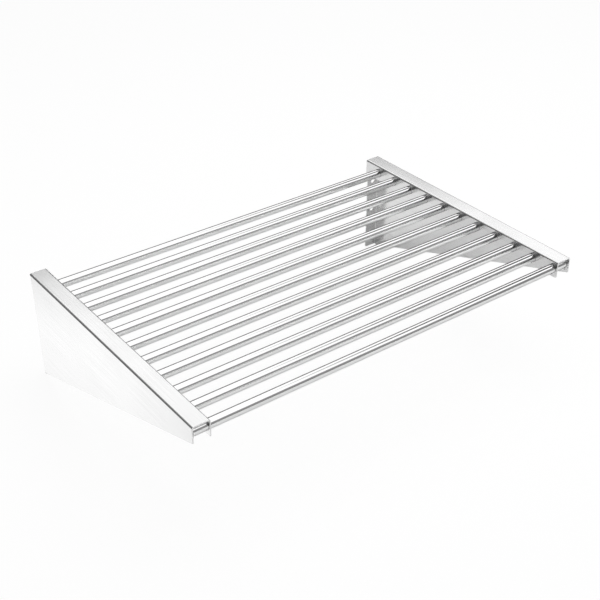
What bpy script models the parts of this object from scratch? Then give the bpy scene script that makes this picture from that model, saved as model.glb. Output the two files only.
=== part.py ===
"""Stainless wall shelf: a row of round tubes between two folded sheet brackets.

Each tube runs through holes in the brackets' inner legs, ends against the inside of their outer legs
and is welded there. Metres, +Z up, +Y towards the wall. The origin is on the wall, midway between the
brackets and level with their tops.
"""

import math

import bmesh
import bpy
from mathutils import Matrix

# Shelf
SHELF_WIDTH = 0.600  # over the outer faces of the two brackets
SHELF_DEPTH = 0.398  # from the wall to the front edge
CLEARANCE = 0.0003  # gap left between pieces that touch

# Brackets
BRACKET_HEIGHT = 0.159  # of the outer leg, from its heel to the top
TOE_HEIGHT = 0.023  # of the outer leg at the front edge
BRACKET_WIDTH = 0.0243  # across the top
SHEET = 0.0015  # thickness of the sheet
BEND_RADIUS = 0.001  # inside each fold
CORNER_RADIUS = 0.002  # of the legs' and the rear flange's free corners
HEEL_RADIUS = 0.005  # of the outer leg's lower corner at the wall
RELIEF = 0.001  # slot between the top fold and the rear flange's upper end
FLANGE_GAP = 0.0012  # between the rear flange and the inner leg
SCREW_HOLE = 0.0075  # diameter
SCREW_HOLE_DROP = 0.040  # from the top to the upper screw hole
SCREW_HOLE_SPACING = 0.050
SCREW_HOLES = 2  # in each rear flange

# Tubes and their welds
TUBE_DIAMETER = 0.0127
TUBE_WALL = 0.001
TUBE_PITCH = 0.0361
EDGE_WEB = 0.00555  # metal of the inner leg above and below each tube
FRONT_WEB = 0.00155  # metal of the inner leg in front of the first hole
WELD_LEG = 0.0015
WELD_FULLNESS = 0.6  # how far the bead's face stands out, as a share of its leg

# Facets
FOLD_STEPS = 6
CORNER_STEPS = 5
HEEL_STEPS = 8
ROUND_STEPS = 32
SHARP_ANGLE = math.radians(30)

# The two ends of the shelf, with the way each lies along X
SIDES = (("left", -1), ("right", 1))

# Sizes that follow
FOLD_RADIUS = BEND_RADIUS + SHEET
FLANGE_WIDTH = BRACKET_WIDTH - SHEET - FLANGE_GAP
FLANGE_TOP = -(FOLD_RADIUS + RELIEF)
TUBE_RADIUS = TUBE_DIAMETER / 2
HOLE_RADIUS = TUBE_RADIUS + CLEARANCE
INNER_LEG_HEIGHT = TUBE_DIAMETER + 2 * EDGE_WEB
TUBE_LENGTH = SHELF_WIDTH - 2 * (SHEET + CLEARANCE)
TUBE_LEVEL = -(EDGE_WEB + TUBE_RADIUS)
FIRST_TUBE = FRONT_WEB + HOLE_RADIUS - SHELF_DEPTH
LAST_PLACE = -(SHEET + WELD_LEG + HOLE_RADIUS)  # the rearmost axis that clears the rear flange
TUBE_COUNT = int((LAST_PLACE - FIRST_TUBE) / TUBE_PITCH) + 1
TUBE_PLACES = [FIRST_TUBE + TUBE_PITCH * index for index in range(TUBE_COUNT)]

# Lower edge of the outer leg: a straight line from the toe that runs tangent into the round heel
HEEL_Y = -HEEL_RADIUS
HEEL_Z = HEEL_RADIUS - BRACKET_HEIGHT
TOE_TO_HEEL = math.hypot(SHELF_DEPTH + HEEL_Y, HEEL_Z + TOE_HEIGHT)
SLOPE = math.asin(HEEL_RADIUS / TOE_TO_HEEL) + math.atan2(-HEEL_Z - TOE_HEIGHT, SHELF_DEPTH + HEEL_Y)
HEEL_START = HEEL_Y - HEEL_RADIUS * math.sin(SLOPE)


def clear_scene():
    for old in list(bpy.data.objects):
        bpy.data.objects.remove(old, do_unlink=True)


def steel(name, colour, roughness):
    """A bare metal finish."""
    material = bpy.data.materials.new(name)
    material.use_nodes = True
    shader = material.node_tree.nodes["Principled BSDF"]
    shader.inputs["Base Color"].default_value = (*colour, 1.0)
    shader.inputs["Metallic"].default_value = 1.0
    shader.inputs["Roughness"].default_value = roughness
    return material


def add_object(name, mesh, material, location, parent):
    """A named piece with its finish, round faces smooth and edges crisp."""
    mesh.shade_smooth()
    mesh.set_sharp_from_angle(angle=SHARP_ANGLE)
    if not mesh.materials:
        mesh.materials.append(material)
    piece = bpy.data.objects.new(name, mesh)
    piece.location = location
    piece.parent = parent
    bpy.context.scene.collection.objects.link(piece)
    return piece


def to_mesh(form, name):
    mesh = bpy.data.meshes.new(name)
    form.to_mesh(mesh)
    form.free()
    return mesh


def round_hole(centre, radius):
    """A hole's rim, as points in the plane of its wall."""
    turns = [2 * math.pi * step / ROUND_STEPS for step in range(ROUND_STEPS)]
    return [(centre[0] + radius * math.cos(turn), centre[1] + radius * math.sin(turn)) for turn in turns]


def rounded_corner(corner, from_side, to_side, radius):
    """Points round a square corner; the sides are unit steps from the corner back along its two edges."""
    centre = [c + radius * (a + b) for c, a, b in zip(corner, from_side, to_side)]
    points = []
    for step in range(CORNER_STEPS + 1):
        turn = math.pi / 2 * step / CORNER_STEPS
        towards_from = radius * math.sin(turn)
        towards_to = radius * math.cos(turn)
        points.append(
            tuple(m - towards_to * b - towards_from * a for m, a, b in zip(centre, from_side, to_side))
        )
    return points


def sloping_edge(y):
    """Height of the outer leg's straight lower edge."""
    return -TOE_HEIGHT - (y + SHELF_DEPTH) * math.tan(SLOPE)


def lower_edge(y):
    """Height of the outer leg's lower edge: straight, then round the heel to the rear flange."""
    y = min(y, -SHEET)
    if y < HEEL_START:
        return sloping_edge(y)
    return HEEL_Z - math.sqrt(HEEL_RADIUS**2 - (y - HEEL_Y) ** 2)


def gusset_outline():
    """The outer leg's flat face, as (y, z), from its top front corner round by the toe and the heel."""
    points = [(-SHELF_DEPTH, -FOLD_RADIUS)]
    toe_y = -SHELF_DEPTH + CORNER_RADIUS
    toe_z = -TOE_HEIGHT + CORNER_RADIUS / math.tan((math.pi / 2 + SLOPE) / 2)
    toe_sweep = math.pi / 2 - SLOPE
    for step in range(CORNER_STEPS + 1):
        turn = toe_sweep * step / CORNER_STEPS
        points.append((toe_y - CORNER_RADIUS * math.cos(turn), toe_z - CORNER_RADIUS * math.sin(turn)))
    heel_end = math.asin((-FOLD_RADIUS - HEEL_Y) / HEEL_RADIUS)
    for step in range(HEEL_STEPS + 1):
        turn = -SLOPE + (heel_end + SLOPE) * step / HEEL_STEPS
        points.append((HEEL_Y + HEEL_RADIUS * math.sin(turn), HEEL_Z - HEEL_RADIUS * math.cos(turn)))
    points.append((-FOLD_RADIUS, FLANGE_TOP))
    points.append((-FOLD_RADIUS, -FOLD_RADIUS))
    return points


def top_outline():
    """The top's flat face, as (inward, y)."""
    near, far = FOLD_RADIUS, BRACKET_WIDTH - FOLD_RADIUS
    return [(near, -SHELF_DEPTH), (far, -SHELF_DEPTH), (far, 0), (near, 0)]


def inner_leg_outline():
    """The inner leg's flat face, as (y, z), with its two lower corners rounded."""
    low = -INNER_LEG_HEIGHT
    front = rounded_corner((-SHELF_DEPTH, low), (0, 1), (1, 0), CORNER_RADIUS)
    rear = rounded_corner((0, low), (-1, 0), (0, 1), CORNER_RADIUS)
    return [(-SHELF_DEPTH, -FOLD_RADIUS), *front, *rear, (0, -FOLD_RADIUS)]


def rear_flange_outline():
    """The rear flange's flat face, as (inward, z), with its two inner corners rounded."""
    low = lower_edge(0)
    lower = rounded_corner((FLANGE_WIDTH, low), (-1, 0), (0, 1), CORNER_RADIUS)
    upper = rounded_corner((FLANGE_WIDTH, FLANGE_TOP), (0, -1), (-1, 0), CORNER_RADIUS)
    return [(FOLD_RADIUS, low), *lower, *upper, (FOLD_RADIUS, FLANGE_TOP)]


def closed_loop(form, corners):
    """Edges from each corner to the next and back to the first."""
    return [form.edges.new(pair) for pair in zip(corners, corners[1:] + corners[:1])]


def add_wall(form, place, outline, holes=()):
    """One flat wall of a bracket's skin; place puts a point of its plane into the bracket."""
    corners = [form.verts.new(place(*point)) for point in outline]
    if not holes:
        form.faces.new(corners)
        return
    rims = closed_loop(form, corners)
    for hole in holes:
        rims += closed_loop(form, [form.verts.new(place(*point)) for point in hole])
    bmesh.ops.triangle_fill(form, use_beauty=True, use_dissolve=False, edges=rims)


def add_fold(form, lines):
    """Rounded fold between two walls, through lines of points that run along it."""
    for one, other in zip(lines, lines[1:]):
        corners = [form.verts.new(point) for point in (*one, *reversed(other))]
        form.faces.new(corners)


def fold_angles():
    return [math.pi / 2 * step / FOLD_STEPS for step in range(FOLD_STEPS + 1)]


def outer_top_fold():
    """Lines along the fold from the outer leg to the top; the first also meets the relief slot."""
    lines = []
    for turn in fold_angles():
        inward = FOLD_RADIUS * (1 - math.cos(turn))
        z = FOLD_RADIUS * (math.sin(turn) - 1)
        stops = [-SHELF_DEPTH, -FOLD_RADIUS, 0] if turn == 0 else [-SHELF_DEPTH, 0]
        lines.append([(inward, y, z) for y in stops])
    return lines


def inner_top_fold():
    """Lines along the fold from the top to the inner leg."""
    lines = []
    for turn in fold_angles():
        inward = BRACKET_WIDTH - FOLD_RADIUS * (1 - math.sin(turn))
        z = -FOLD_RADIUS * (1 - math.cos(turn))
        lines.append([(inward, y, z) for y in (-SHELF_DEPTH, 0)])
    return lines


def rear_fold():
    """Lines down the fold from the outer leg to the rear flange."""
    lines = []
    for turn in fold_angles():
        inward = FOLD_RADIUS * (1 - math.cos(turn))
        y = FOLD_RADIUS * (math.sin(turn) - 1)
        lines.append([(inward, y, z) for z in (lower_edge(y), FLANGE_TOP)])
    return lines


def bracket_skin(side):
    """Outer skin of a bracket: four flat walls and the folds between them. side is -1 left, 1 right."""
    form = bmesh.new()
    tube_holes = [round_hole((y, TUBE_LEVEL), HOLE_RADIUS) for y in TUBE_PLACES]
    screw_levels = [-SCREW_HOLE_DROP - SCREW_HOLE_SPACING * index for index in range(SCREW_HOLES)]
    screw_holes = [round_hole((FLANGE_WIDTH / 2, z), SCREW_HOLE / 2) for z in screw_levels]
    add_wall(form, lambda y, z: (0, y, z), gusset_outline())
    add_wall(form, lambda inward, y: (inward, y, 0), top_outline())
    add_wall(form, lambda y, z: (BRACKET_WIDTH, y, z), inner_leg_outline(), tube_holes)
    add_wall(form, lambda inward, z: (inward, 0, z), rear_flange_outline(), screw_holes)
    add_fold(form, outer_top_fold())
    add_fold(form, inner_top_fold())
    add_fold(form, rear_fold())
    bmesh.ops.remove_doubles(form, verts=form.verts, dist=CLEARANCE / 100)
    if side > 0:
        bmesh.ops.transform(form, matrix=Matrix.Scale(-1, 4, (1, 0, 0)), verts=form.verts)
    bmesh.ops.recalc_face_normals(form, faces=form.faces)
    gusset = max(form.faces, key=lambda face: face.calc_area())
    if gusset.normal.x * side < 0:
        bmesh.ops.reverse_faces(form, faces=form.faces)
    return form


def make_bracket(name, side, material, parent):
    """A bracket folded from one sheet, whose skin gets its thickness on the inside."""
    mesh = to_mesh(bracket_skin(side), name)
    bracket = add_object(name, mesh, material, (side * SHELF_WIDTH / 2, 0, 0), parent)
    thickness = bracket.modifiers.new("sheet", "SOLIDIFY")
    thickness.thickness = SHEET
    thickness.offset = -1
    thickness.use_even_offset = True
    thickness.use_quality_normals = True


def turned_ring(name, profile):
    """A ring about the X axis, from a closed profile of (x, radius) points."""
    form = bmesh.new()
    corners = [form.verts.new((x, 0, radius)) for x, radius in profile]
    bmesh.ops.spin(
        form,
        geom=corners + closed_loop(form, corners),
        axis=(1, 0, 0),
        cent=(0, 0, 0),
        angle=2 * math.pi,
        steps=ROUND_STEPS,
        use_merge=True,
    )
    bmesh.ops.recalc_face_normals(form, faces=form.faces)
    return to_mesh(form, name)


def tube_profile():
    half = TUBE_LENGTH / 2
    bore = TUBE_RADIUS - TUBE_WALL
    return [(-half, bore), (half, bore), (half, TUBE_RADIUS), (-half, TUBE_RADIUS)]


def weld_profile(side):
    """A fillet with a slightly full face, from the outer leg in along the tube."""
    bulge = WELD_FULLNESS * WELD_LEG
    steps = [(0, 0), (WELD_LEG, 0), (bulge, bulge), (0, WELD_LEG)]
    return [(-side * along, HOLE_RADIUS + out) for along, out in steps]


def make_tubes(tube_steel, weld_steel, parent):
    tube = turned_ring("tube", tube_profile())
    welds = {side: turned_ring(f"{name}_weld", weld_profile(side)) for name, side in SIDES}
    for index, y in enumerate(TUBE_PLACES, start=1):
        add_object(f"tube_{index:02d}", tube, tube_steel, (0, y, TUBE_LEVEL), parent)
        for name, side in SIDES:
            seat = side * (SHELF_WIDTH / 2 - SHEET - CLEARANCE)
            add_object(f"{name}_weld_{index:02d}", welds[side], weld_steel, (seat, y, TUBE_LEVEL), parent)


def build():
    clear_scene()
    wall_line = bpy.data.objects.new("wall_line", None)
    bpy.context.scene.collection.objects.link(wall_line)
    bracket_steel = steel("polished_sheet_steel", (0.62, 0.62, 0.62), 0.16)
    tube_steel = steel("polished_tube_steel", (0.66, 0.66, 0.66), 0.10)
    weld_steel = steel("weld_steel", (0.48, 0.47, 0.45), 0.35)
    for name, side in SIDES:
        make_bracket(f"{name}_bracket", side, bracket_steel, wall_line)
    make_tubes(tube_steel, weld_steel, wall_line)


build()
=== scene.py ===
"""Finish, studio and camera for the stainless wall shelf.

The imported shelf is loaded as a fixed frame. Its folded brackets get deburred edges and a satin finish, and
its tubes and weld beads are made again with a finer surface. It hangs over a pale floor under a soft white
dome, among the panels, screen and cards that its steel mirrors. Metres, in the frame of the shelf: +Z up,
+Y towards the wall.
"""

import math

import bmesh
import bpy
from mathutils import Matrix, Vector


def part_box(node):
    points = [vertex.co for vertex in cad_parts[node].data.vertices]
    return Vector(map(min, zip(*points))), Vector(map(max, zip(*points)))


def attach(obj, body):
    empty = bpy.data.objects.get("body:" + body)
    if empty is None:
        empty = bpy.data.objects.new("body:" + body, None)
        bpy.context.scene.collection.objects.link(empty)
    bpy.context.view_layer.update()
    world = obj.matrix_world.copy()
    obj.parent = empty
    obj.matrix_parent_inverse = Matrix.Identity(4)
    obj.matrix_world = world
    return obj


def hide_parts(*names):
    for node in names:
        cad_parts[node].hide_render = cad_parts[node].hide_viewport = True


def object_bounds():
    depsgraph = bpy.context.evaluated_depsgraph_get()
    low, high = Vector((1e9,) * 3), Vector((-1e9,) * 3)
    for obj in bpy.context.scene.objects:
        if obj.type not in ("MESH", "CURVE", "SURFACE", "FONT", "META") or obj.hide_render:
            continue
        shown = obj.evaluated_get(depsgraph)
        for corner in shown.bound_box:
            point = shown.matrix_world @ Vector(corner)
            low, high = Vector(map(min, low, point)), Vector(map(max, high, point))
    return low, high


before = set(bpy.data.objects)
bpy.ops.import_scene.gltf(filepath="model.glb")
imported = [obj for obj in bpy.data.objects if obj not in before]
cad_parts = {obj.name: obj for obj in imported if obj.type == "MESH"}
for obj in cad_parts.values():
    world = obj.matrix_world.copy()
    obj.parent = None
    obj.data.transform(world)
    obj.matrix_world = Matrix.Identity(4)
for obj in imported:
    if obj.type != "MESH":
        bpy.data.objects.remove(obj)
CAD_LOW, CAD_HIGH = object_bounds()

MM = 0.001
BODY = "root"

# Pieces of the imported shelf
SIDES = ("left", "right")
TUBES = sorted(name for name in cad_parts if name.startswith("tube_"))
WELDS = sorted(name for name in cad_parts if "_weld_" in name)

# Sheet
SHEET = 1.5 * MM  # thickness of the brackets' sheet
DEBURR = 0.25 * MM  # rounding of its cut edges
DEBURR_STEPS = 2
MERGE = 0.001 * MM  # points closer than this are one
FLAT_ANGLE = math.radians(1)  # seams between triangles of one flat wall
EDGE_ANGLE = math.radians(40)  # cut edges are sharper than this, folds are not
FLAT_WEIGHT = 100  # how far the large flat walls outweigh their rounded edges in the shading

# Tubes, in a row from the front one to the rear one
FRONT_LOW, FRONT_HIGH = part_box(TUBES[0])
REAR_LOW, REAR_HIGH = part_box(TUBES[-1])
FRONT_TUBE = (FRONT_LOW + FRONT_HIGH) / 2
TUBE_PITCH = ((REAR_LOW + REAR_HIGH) / 2 - FRONT_TUBE) / (len(TUBES) - 1)
TUBE_LENGTH = FRONT_HIGH.x - FRONT_LOW.x
TUBE_DIAMETER = FRONT_HIGH.z - FRONT_LOW.z
TUBE_WALL = 1.0 * MM
TUBE_SIDES = 96

# Weld beads, drawn as overlapping puddles round each tube's end
BEAD_LONG = 1.0 * MM  # half width of a bead, across its face
BEAD_THICK = 0.62 * MM  # half thickness
BEAD_SEAT = 0.86 * MM  # from the bead's middle to the tube and to the sheet
BEAD_PUDDLES = 26
BEAD_RIPPLE = 0.16  # depth of the dip between puddles, as a share of the bead
BEAD_STEPS = 6  # points along each puddle
BEAD_SIDES = 10

# Steel
NOISE_LOW = 0.3  # nearly all of a noise lies between these two
NOISE_HIGH = 0.7
LINE_DETAIL = 3.0  # finer lines within a polishing line
BLUR_PATCH = 45 * MM  # size of the patches over which the blur drifts
BLUR_DETAIL = 2.0

# Studio
FLOOR_DROP = 0.5 * MM  # below the brackets' heels
FLOOR_SIZE = 16.0
FLOOR_WHITE_SEEN = 0.94  # how far the floor is lifted to white where it is seen
FLOOR_WHITE_MIRRORED = 0.05  # and where the steel mirrors it
DOME_LIGHT = 1.25  # of the white dome, where it is seen or mirrored
DOME_FILL = 0.30  # of the white dome, on matte surfaces
PANELS = (  # upright round the set: plan, then height above the floor and light of each row of corners
    ("back_panel", ((-0.20, 1.20), (3.00, 1.11)), ((0.0, 0.08), (0.88, 0.08))),
    ("back_right_panel", ((1.45, 1.154), (3.00, 1.11)), ((0.88, 0.50), (1.03, 0.50))),
    (
        "back_left_panel",
        ((-2.90, 0.58), (-2.10, 1.94), (-1.00, 2.63), (0.08, 2.80)),
        ((0.0, 0.12), (3.60, 0.36)),
    ),
    (
        "white_screen",
        ((3.05, 1.10), (2.65, 1.95), (1.75, 2.75), (0.80, 3.05)),
        ((1.30, 1.25), (1.90, 1.42), (2.60, 1.42), (3.30, 1.25)),
    ),
    ("right_panel", ((2.78, 0.86), (2.95, -0.85)), ((0.0, 0.085), (4.30, 0.085), (6.00, 1.05))),
    (
        "front_right_panel",
        ((2.95, -0.72), (2.60, -1.70), (1.90, -2.53)),
        ((0.0, 0.27), (1.86, 0.27)),
    ),
    ("front_panel", ((1.90, -2.53), (1.22, -2.94), (-0.80, -3.10)), ((0.0, 0.30), (2.20, 0.30))),
    (
        "left_panel",
        ((-0.80, -3.10), (-2.20, -2.30), (-3.00, -0.90), (-2.90, 0.58)),
        ((0.0, 0.095), (4.80, 0.095)),
    ),
)
CARDS = (  # lying on the floor: place and light of the middle, then of each corner
    (
        # a painted pool of light on the floor by the left bracket, brightest in its middle, for the bracket's
        # outer face to mirror
        "glowing_card",
        (-0.40, 0.00, 1.35),
        ((-0.3005, -0.30, 1.22), (-0.3005, 0.22, 1.22), (-0.60, 0.45, 0.78), (-0.60, -0.45, 0.78)),
    ),
    (
        # the dark cards glow only dimly: dark patches of floor that only the steel mirrors
        "left_dark_card",
        (-1.60, 0.90, 0.10),
        ((-0.61, -0.60, 0.10), (-0.61, 1.20, 0.10), (-2.80, 2.60, 0.10), (-2.80, -0.60, 0.10)),
    ),
    (
        "right_dark_card",
        (1.20, 0.40, 0.10),
        ((0.42, -0.30, 0.10), (2.40, -0.30, 0.10), (2.40, 1.10, 0.10), (0.42, 1.10, 0.10)),
    ),
)
SOFTBOX_PLACE = Vector((0.45, -0.10, 1.50))  # over the shelf
SOFTBOX_AIM = Vector((0.45, -0.10, -0.16))
SOFTBOX_SIZE = 1.6
SOFTBOX_POWER = 31.0

# Camera, fitted to the corners of the brackets in the photograph
SENSOR = 36.0
FOCAL_LENGTH = 66.471
CAMERA_AIM = Vector((-0.05435, -0.26445, 0.0))
CAMERA_DISTANCE = 1.40077
CAMERA_TURN = math.radians(36.917)  # to the left of the shelf's front
CAMERA_RISE = math.radians(32.605)


def linear(colour):
    """Linear RGBA of an sRGB hex colour."""
    parts = [int(colour[at : at + 2], 16) / 255 for at in (1, 3, 5)]
    return [part / 12.92 if part <= 0.04045 else ((part + 0.055) / 1.055) ** 2.4 for part in parts] + [1.0]


def add_node(tree, kind, inputs=None, **settings):
    """A node with its settings; each input is a value, or an output that is linked to it."""
    node = tree.nodes.new(kind)
    for name, value in settings.items():
        setattr(node, name, value)
    for name, value in (inputs or {}).items():
        if isinstance(value, bpy.types.NodeSocket):
            tree.links.new(value, node.inputs[name])
        else:
            node.inputs[name].default_value = value
    return node


def new_material(name):
    """An empty material and its node tree."""
    material = bpy.data.materials.new(name)
    material.use_nodes = True
    material.node_tree.nodes.clear()
    return material, material.node_tree


def polished_steel(name, uv_map, streaks, roughness, line, rim="#FFFFFF"):
    """Bare steel with polishing lines, each a faint streak and groove, and a blur that drifts.

    The lines run with U of the UV map, or with X where there is none. streaks are the light and the dark
    tone, roughness is the least and the most, line is a line's length, width and depth, and rim is the tint
    of what the steel mirrors at a grazing angle.
    """
    light, dark = streaks
    length, width, depth = line
    material, tree = new_material(name)
    place = add_node(tree, "ShaderNodeTexCoord").outputs["Object"]
    along = add_node(tree, "ShaderNodeUVMap", uv_map=uv_map).outputs["UV"] if uv_map else place
    stretched = add_node(
        tree, "ShaderNodeMapping", {"Vector": along, "Scale": (1 / length, 1 / width, 1 / width)}
    )
    lines = add_node(
        tree, "ShaderNodeTexNoise", {"Vector": stretched.outputs[0], "Scale": 1.0, "Detail": LINE_DETAIL}
    )
    drift = add_node(
        tree, "ShaderNodeTexNoise", {"Vector": place, "Scale": 1 / BLUR_PATCH, "Detail": BLUR_DETAIL}
    )
    shade = add_node(
        tree,
        "ShaderNodeMapRange",
        {"Value": lines.outputs[0], "From Min": NOISE_LOW, "From Max": NOISE_HIGH},
    )
    tone = add_node(
        tree,
        "ShaderNodeMix",
        {"Factor": shade.outputs[0], "A": linear(dark), "B": linear(light)},
        data_type="RGBA",
    )
    blur = add_node(
        tree,
        "ShaderNodeMapRange",
        {
            "Value": drift.outputs[0],
            "From Min": NOISE_LOW,
            "From Max": NOISE_HIGH,
            "To Min": roughness[0],
            "To Max": roughness[1],
        },
    )
    grooves = add_node(
        tree, "ShaderNodeBump", {"Height": lines.outputs[0], "Strength": 1.0, "Distance": depth}
    )
    shader = add_node(
        tree,
        "ShaderNodeBsdfPrincipled",
        {
            "Base Color": tone.outputs["Result"],
            "Metallic": 1.0,
            "Specular Tint": linear(rim),
            "Roughness": blur.outputs[0],
            "Normal": grooves.outputs[0],
        },
    )
    add_node(tree, "ShaderNodeOutputMaterial", {"Surface": shader.outputs[0]})
    return material


def satin_sheet():
    """Satin stainless sheet: cold-rolled, then polished lengthwise before it is folded."""
    # It gives the eye a soft mirror with a faint straight grain. The real lines are too fine for the render,
    # so they are drawn coarser, to show from close by.
    return polished_steel(
        "satin_stainless_sheet",
        "sheet",
        ("#E2E2E2", "#D7D7D7"),
        (0.19, 0.24),
        (120 * MM, 0.8 * MM, 0.001 * MM),
    )


def bright_tube():
    """Bright stainless tube: belt polished along its length, so its lines run with X."""
    # It gives the eye a clear mirror drawn out lengthwise, with a darker rim. Its lines are drawn coarser
    # than the real ones, as on the sheet.
    return polished_steel(
        "bright_stainless_tube",
        None,
        ("#EDEDED", "#E9E9E9"),
        (0.06, 0.10),
        (120 * MM, 0.6 * MM, 0.001 * MM),
        "#7C7C7C",
    )


def weld_metal():
    """Stainless weld metal, brushed clean: its marks run in no direction."""
    # It gives the eye a mottled surface, greyer and duller than the polished steel.
    return polished_steel(
        "brushed_weld_metal",
        None,
        ("#DCDCDC", "#C8C8C8"),
        (0.28, 0.42),
        (0.5 * MM, 0.5 * MM, 0.02 * MM),
    )


def shown_mesh(source, name):
    """A new piece with the mesh that the source's modifiers give; the source is removed."""
    bpy.context.view_layer.update()
    evaluated = source.evaluated_get(bpy.context.evaluated_depsgraph_get())
    mesh = bpy.data.meshes.new_from_object(evaluated)
    mesh.name = name
    old = source.data
    bpy.data.objects.remove(source)
    bpy.data.meshes.remove(old)
    piece = bpy.data.objects.new(name, mesh)
    bpy.context.scene.collection.objects.link(piece)
    return piece


def hand_over(piece, slot, *nodes):
    """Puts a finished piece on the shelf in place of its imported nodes."""
    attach(piece, BODY)
    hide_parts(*nodes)


def unfold(mesh):
    """A UV map in metres of the unfolded sheet: U runs with the polish and V across it."""
    uv = mesh.uv_layers.new(name="sheet")
    for face in mesh.polygons:
        facing = [abs(part) for part in face.normal]
        across = 0 if facing[2] == max(facing) else 2
        along = 0 if facing[1] == max(facing) else 1
        for corner in face.loop_indices:
            point = mesh.vertices[mesh.loops[corner].vertex_index].co
            uv.data[corner].uv = (point[along], point[across])


def make_bracket(side, finish):
    """A folded bracket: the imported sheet, merged and cleared of flat seams, with its cut edges deburred."""
    name = f"{side}_bracket"
    form = bmesh.new()
    form.from_mesh(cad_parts[name].data)
    bmesh.ops.remove_doubles(form, verts=form.verts, dist=MERGE)
    bmesh.ops.dissolve_limit(form, angle_limit=FLAT_ANGLE, verts=form.verts, edges=form.edges)
    for face in form.faces:
        face.smooth = True
    mesh = bpy.data.meshes.new(f"{name}_sheet")
    form.to_mesh(mesh)
    form.free()
    rough = bpy.data.objects.new(f"{name}_rough", mesh)
    bpy.context.scene.collection.objects.link(rough)
    deburr = rough.modifiers.new("deburr", "BEVEL")
    deburr.width = DEBURR
    deburr.segments = DEBURR_STEPS
    deburr.limit_method = "ANGLE"
    deburr.angle_limit = EDGE_ANGLE
    flat = rough.modifiers.new("flat_walls", "WEIGHTED_NORMAL")
    flat.mode = "FACE_AREA"
    flat.weight = FLAT_WEIGHT
    flat.keep_sharp = True
    piece = shown_mesh(rough, f"{name}_sheet")
    unfold(piece.data)
    piece.data.materials.clear()
    piece.data.materials.append(finish)
    hand_over(piece, "bracket_steel", name)


def new_tree(name, inputs):
    """A Geometry Nodes tree with these named inputs: the tree, its input node and each input's identifier."""
    tree = bpy.data.node_groups.new(name, "GeometryNodeTree")
    tree.interface.new_socket("Geometry", in_out="OUTPUT", socket_type="NodeSocketGeometry")
    names = {}
    for label, kind in inputs:
        socket = tree.interface.new_socket(label, in_out="INPUT", socket_type=f"NodeSocket{kind}")
        names[label] = socket.identifier
    return tree, tree.nodes.new("NodeGroupInput"), names


def add_row(tree, size, first, shape):
    """A copy of the shape at each tube, counted from the input that gives the first place."""
    places = add_node(
        tree,
        "GeometryNodeMeshLine",
        {"Count": size["Count"], "Start Location": size[first], "Offset": size["Pitch"]},
    )
    return add_node(
        tree, "GeometryNodeInstanceOnPoints", {"Points": places.outputs[0], "Instance": shape.outputs[0]}
    )


def end_tree(tree, size, rows):
    """Makes the copies real and gives them their finish."""
    real = add_node(tree, "GeometryNodeRealizeInstances", {"Geometry": rows.outputs[0]})
    finished = add_node(
        tree, "GeometryNodeSetMaterial", {"Geometry": real.outputs[0], "Material": size["Finish"]}
    )
    add_node(tree, "NodeGroupOutput", {"Geometry": finished.outputs[0]})


def grow(name, tree, names, values):
    """The plain mesh piece that a Geometry Nodes tree makes from these values."""
    seed = bpy.data.objects.new(f"{name}_seed", bpy.data.meshes.new(f"{name}_seed"))
    bpy.context.scene.collection.objects.link(seed)
    grown = seed.modifiers.new("grow", "NODES")
    grown.node_group = tree
    for label, value in values.items():
        grown[names[label]] = value
    return shown_mesh(seed, name)


def tube_tree():
    """A row of open tubes along X: a wall section swept round each axis, with crisp edges at the ends."""
    tree, given, names = new_tree(
        "tube_row",
        [
            ("Count", "Int"),
            ("Pitch", "Vector"),
            ("First", "Vector"),
            ("Length", "Float"),
            ("Mid Radius", "Float"),
            ("Wall", "Float"),
            ("Sides", "Int"),
            ("Finish", "Material"),
        ],
    )
    size = given.outputs
    ring = add_node(
        tree,
        "GeometryNodeCurvePrimitiveCircle",
        {"Resolution": size["Sides"], "Radius": size["Mid Radius"]},
    )
    wall = add_node(
        tree, "GeometryNodeCurvePrimitiveQuadrilateral", {"Width": size["Wall"], "Height": size["Length"]}
    )
    swept = add_node(
        tree, "GeometryNodeCurveToMesh", {"Curve": ring.outputs[0], "Profile Curve": wall.outputs[0]}
    )
    angle = add_node(tree, "GeometryNodeInputMeshEdgeAngle")
    sharp = add_node(
        tree,
        "FunctionNodeCompare",
        {"A": angle.outputs["Unsigned Angle"], "B": EDGE_ANGLE},
        operation="GREATER_THAN",
    )
    crisp = add_node(
        tree,
        "GeometryNodeSetShadeSmooth",
        {"Geometry": swept.outputs[0], "Selection": sharp.outputs[0], "Shade Smooth": False},
        domain="EDGE",
    )
    lying = add_node(
        tree, "GeometryNodeTransform", {"Geometry": crisp.outputs[0], "Rotation": (0.0, math.pi / 2, 0.0)}
    )
    end_tree(tree, size, add_row(tree, size, "First", lying))
    return tree, names


def make_tubes(finish):
    """All the shelf's tubes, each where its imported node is."""
    tree, names = tube_tree()
    piece = grow(
        "polished_tubes",
        tree,
        names,
        {
            "Count": len(TUBES),
            "Pitch": TUBE_PITCH,
            "First": FRONT_TUBE,
            "Length": TUBE_LENGTH,
            "Mid Radius": (TUBE_DIAMETER - TUBE_WALL) / 2,
            "Wall": TUBE_WALL,
            "Sides": TUBE_SIDES,
            "Finish": finish,
        },
    )
    hand_over(piece, "tube_steel", *TUBES)


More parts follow.
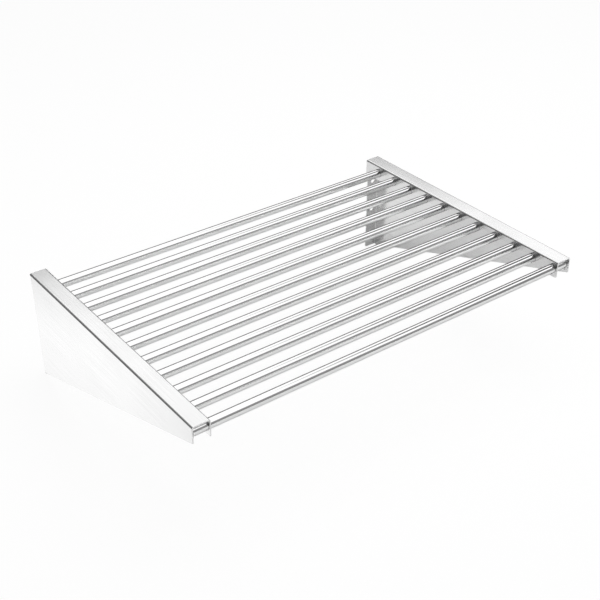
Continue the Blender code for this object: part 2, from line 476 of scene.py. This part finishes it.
def weld_tree():
    """Two rows of weld beads round the tubes' ends: a flattened bead with a dip between its puddles."""
    tree, given, names = new_tree(
        "weld_beads",
        [
            ("Count", "Int"),
            ("Pitch", "Vector"),
            ("First Left", "Vector"),
            ("First Right", "Vector"),
            ("Radius", "Float"),
            ("Half Width", "Float"),
            ("Half Thickness", "Float"),
            ("Puddles", "Int"),
            ("Ripple", "Float"),
            ("Finish", "Material"),
        ],
    )
    size = given.outputs
    points = add_node(
        tree, "ShaderNodeMath", {0: size["Puddles"], 1: BEAD_STEPS}, operation="MULTIPLY"
    )
    ring = add_node(
        tree, "GeometryNodeCurvePrimitiveCircle", {"Resolution": points.outputs[0], "Radius": size["Radius"]}
    )
    along = add_node(tree, "GeometryNodeSplineParameter")
    turns = add_node(
        tree, "ShaderNodeMath", {0: along.outputs["Factor"], 1: size["Puddles"]}, operation="MULTIPLY"
    )
    phase = add_node(tree, "ShaderNodeMath", {0: turns.outputs[0], 1: math.pi}, operation="MULTIPLY")
    wave = add_node(tree, "ShaderNodeMath", {0: phase.outputs[0]}, operation="SINE")
    crown = add_node(tree, "ShaderNodeMath", {0: wave.outputs[0]}, operation="ABSOLUTE")
    dip = add_node(tree, "ShaderNodeMath", {0: crown.outputs[0], 1: 1.0}, operation="SUBTRACT")
    thickness = add_node(
        tree,
        "ShaderNodeMath",
        {0: dip.outputs[0], 1: size["Ripple"], 2: 1.0},
        operation="MULTIPLY_ADD",
    )
    rippled = add_node(
        tree, "GeometryNodeSetCurveRadius", {"Curve": ring.outputs[0], "Radius": thickness.outputs[0]}
    )
    round_bead = add_node(
        tree, "GeometryNodeCurvePrimitiveCircle", {"Resolution": BEAD_SIDES, "Radius": 1.0}
    )
    flattening = add_node(
        tree, "ShaderNodeCombineXYZ", {"X": size["Half Width"], "Y": size["Half Thickness"], "Z": 1.0}
    )
    flat_bead = add_node(
        tree, "GeometryNodeTransform", {"Geometry": round_bead.outputs[0], "Scale": flattening.outputs[0]}
    )
    leaning = add_node(
        tree, "GeometryNodeTransform", {"Geometry": flat_bead.outputs[0], "Rotation": (0.0, 0.0, math.pi / 4)}
    )
    swept = add_node(
        tree, "GeometryNodeCurveToMesh", {"Curve": rippled.outputs[0], "Profile Curve": leaning.outputs[0]}
    )
    rows = add_node(tree, "GeometryNodeJoinGeometry")
    for first, turn in (("First Left", math.pi / 2), ("First Right", -math.pi / 2)):
        facing = add_node(
            tree, "GeometryNodeTransform", {"Geometry": swept.outputs[0], "Rotation": (0.0, turn, 0.0)}
        )
        tree.links.new(add_row(tree, size, first, facing).outputs[0], rows.inputs[0])
    end_tree(tree, size, rows)
    return tree, names


def make_welds(finish):
    """The bead round each tube's end, seated in the corner between tube and sheet."""
    seat = CAD_HIGH.x - SHEET - BEAD_SEAT
    tree, names = weld_tree()
    piece = grow(
        "weld_beads",
        tree,
        names,
        {
            "Count": len(TUBES),
            "Pitch": TUBE_PITCH,
            "First Left": (-seat, FRONT_TUBE.y, FRONT_TUBE.z),
            "First Right": (seat, FRONT_TUBE.y, FRONT_TUBE.z),
            "Radius": TUBE_DIAMETER / 2 + BEAD_SEAT,
            "Half Width": BEAD_LONG,
            "Half Thickness": BEAD_THICK,
            "Puddles": BEAD_PUDDLES,
            "Ripple": BEAD_RIPPLE,
            "Finish": finish,
        },
    )
    hand_over(piece, "weld_steel", *WELDS)


def stage_piece(name, corners, faces, material):
    """Part of the studio, from its corners and faces."""
    mesh = bpy.data.meshes.new(name)
    mesh.from_pydata(corners, [], faces)
    mesh.materials.append(material)
    piece = bpy.data.objects.new(name, mesh)
    bpy.context.scene.collection.objects.link(piece)
    return piece


def mirrored_piece(name, corners, faces, lights, appearance):
    """Part of the studio that only mirroring steel shows, with its light at each corner."""
    piece = stage_piece(name, corners, faces, appearance)
    light = piece.data.attributes.new("light", "FLOAT", "POINT")
    light.data.foreach_set("value", lights)
    piece.visible_camera = False
    piece.visible_diffuse = False
    piece.visible_shadow = False


def mirrored_rays(tree, ray):
    """One where steel or glass shows a surface, and nothing elsewhere."""
    return add_node(
        tree,
        "ShaderNodeMath",
        {0: ray.outputs["Is Glossy Ray"], 1: ray.outputs["Is Transmission Ray"]},
        operation="MAXIMUM",
    )


def panel_glow():
    """Glow of the panels, screen and cards, as bright or dim as each corner says: painted light that only the
    steel mirrors.
    """
    material, tree = new_material("glowing_panel_light")
    light = add_node(tree, "ShaderNodeAttribute", attribute_name="light")
    shader = add_node(
        tree, "ShaderNodeEmission", {"Color": linear("#FFFFFF"), "Strength": light.outputs["Fac"]}
    )
    add_node(tree, "ShaderNodeOutputMaterial", {"Surface": shader.outputs[0]})
    return material


def floor_paint():
    """Matte white floor, lifted to plain white where it is seen and a little where the steel mirrors it."""
    material, tree = new_material("pale_floor")
    appearance = add_node(tree, "ShaderNodeBsdfDiffuse", {"Color": linear("#F3F3F3")})
    white = add_node(tree, "ShaderNodeEmission", {"Color": linear("#FFFFFF"), "Strength": 1.0})
    ray = add_node(tree, "ShaderNodeLightPath")
    seen = add_node(
        tree, "ShaderNodeMath", {0: ray.outputs["Is Camera Ray"], 1: FLOOR_WHITE_SEEN}, operation="MULTIPLY"
    )
    lift = add_node(
        tree,
        "ShaderNodeMath",
        {0: mirrored_rays(tree, ray).outputs[0], 1: FLOOR_WHITE_MIRRORED, 2: seen.outputs[0]},
        operation="MULTIPLY_ADD",
    )
    shown = add_node(
        tree, "ShaderNodeMixShader", {0: lift.outputs[0], 1: appearance.outputs[0], 2: white.outputs[0]}
    )
    clear = add_node(tree, "ShaderNodeBsdfTransparent")
    side = add_node(tree, "ShaderNodeNewGeometry")
    one_sided = add_node(
        tree, "ShaderNodeMixShader", {0: side.outputs["Backfacing"], 1: shown.outputs[0], 2: clear.outputs[0]}
    )
    add_node(tree, "ShaderNodeOutputMaterial", {"Surface": one_sided.outputs[0]})
    return material


def make_floor(level):
    """A wide pale floor at this level, clear from below."""
    half = FLOOR_SIZE / 2
    square = [(-half, -half, level), (half, -half, level), (half, half, level), (-half, half, level)]
    stage_piece("floor", square, [(0, 1, 2, 3)], floor_paint())


def make_panel(name, plan, rows, level, appearance):
    """An upright panel over its plan, with rows of corners at their heights above the floor."""
    count = len(rows)
    corners = [(x, y, level + height) for x, y in plan for height, _ in rows]
    faces = [
        (at, at + 1, at + count + 1, at + count)
        for column in range(len(plan) - 1)
        for at in range(column * count, column * count + count - 1)
    ]
    mirrored_piece(name, corners, faces, [light for _, light in rows] * len(plan), appearance)


def make_card(name, middle, edge, level, appearance):
    """A flat card whose faces fan out from its middle to its edge."""
    points = (middle, *edge)
    corners = [(x, y, level) for x, y, _ in points]
    faces = [(0, at, at % len(edge) + 1) for at in range(1, len(points))]
    mirrored_piece(name, corners, faces, [light for _, _, light in points], appearance)


def make_softbox():
    """The one lamp: a large softbox over the shelf, which the steel doesn't mirror."""
    light = bpy.data.lights.new("softbox", "AREA")
    light.size = SOFTBOX_SIZE
    light.energy = SOFTBOX_POWER
    lamp = bpy.data.objects.new("softbox", light)
    lamp.location = SOFTBOX_PLACE
    lamp.rotation_euler = (SOFTBOX_AIM - SOFTBOX_PLACE).to_track_quat("-Z", "Y").to_euler()
    lamp.visible_glossy = False
    lamp.visible_camera = False
    bpy.context.scene.collection.objects.link(lamp)


def make_dome():
    """The white surroundings: full where they are seen or mirrored, and a soft fill on matte surfaces."""
    world = bpy.data.worlds.new("white_dome")
    world.use_nodes = True
    tree = world.node_tree
    tree.nodes.clear()
    ray = add_node(tree, "ShaderNodeLightPath")
    shown = add_node(
        tree,
        "ShaderNodeMath",
        {0: ray.outputs["Is Camera Ray"], 1: mirrored_rays(tree, ray).outputs[0]},
        operation="MAXIMUM",
    )
    strength = add_node(
        tree,
        "ShaderNodeMapRange",
        {"Value": shown.outputs[0], "To Min": DOME_FILL, "To Max": DOME_LIGHT},
    )
    dome = add_node(
        tree, "ShaderNodeBackground", {"Color": linear("#FFFFFF"), "Strength": strength.outputs[0]}
    )
    add_node(tree, "ShaderNodeOutputWorld", {"Surface": dome.outputs[0]})
    bpy.context.scene.world = world


def make_studio():
    """Pale floor, panels, screen and cards for the steel to mirror, softbox and white dome."""
    level = CAD_LOW.z - FLOOR_DROP
    make_floor(level)
    # The panels, screen and cards glow, and only the steel mirrors them: their light and dark are painted
    # reflections.
    appearance = panel_glow()
    for name, plan, rows in PANELS:
        make_panel(name, plan, rows, level, appearance)
    for name, middle, edge in CARDS:
        make_card(name, middle, edge, CAD_LOW.z, appearance)
    make_softbox()
    make_dome()


def make_camera():
    """The photograph's view."""
    level = math.cos(CAMERA_RISE)
    back = Vector(
        (-math.sin(CAMERA_TURN) * level, -math.cos(CAMERA_TURN) * level, math.sin(CAMERA_RISE))
    )
    data = bpy.data.cameras.new("camera")
    data.sensor_width = SENSOR
    data.lens = FOCAL_LENGTH
    camera = bpy.data.objects.new("camera", data)
    camera.location = CAMERA_AIM + back * CAMERA_DISTANCE
    camera.rotation_euler = (-back).to_track_quat("-Z", "Y").to_euler()
    bpy.context.scene.collection.objects.link(camera)
    bpy.context.scene.camera = camera


bpy.context.scene.view_settings.view_transform = "Standard"
make_camera()
make_studio()
sheet_finish = satin_sheet()
for side in SIDES:
    make_bracket(side, sheet_finish)
make_tubes(bright_tube())
make_welds(weld_metal())
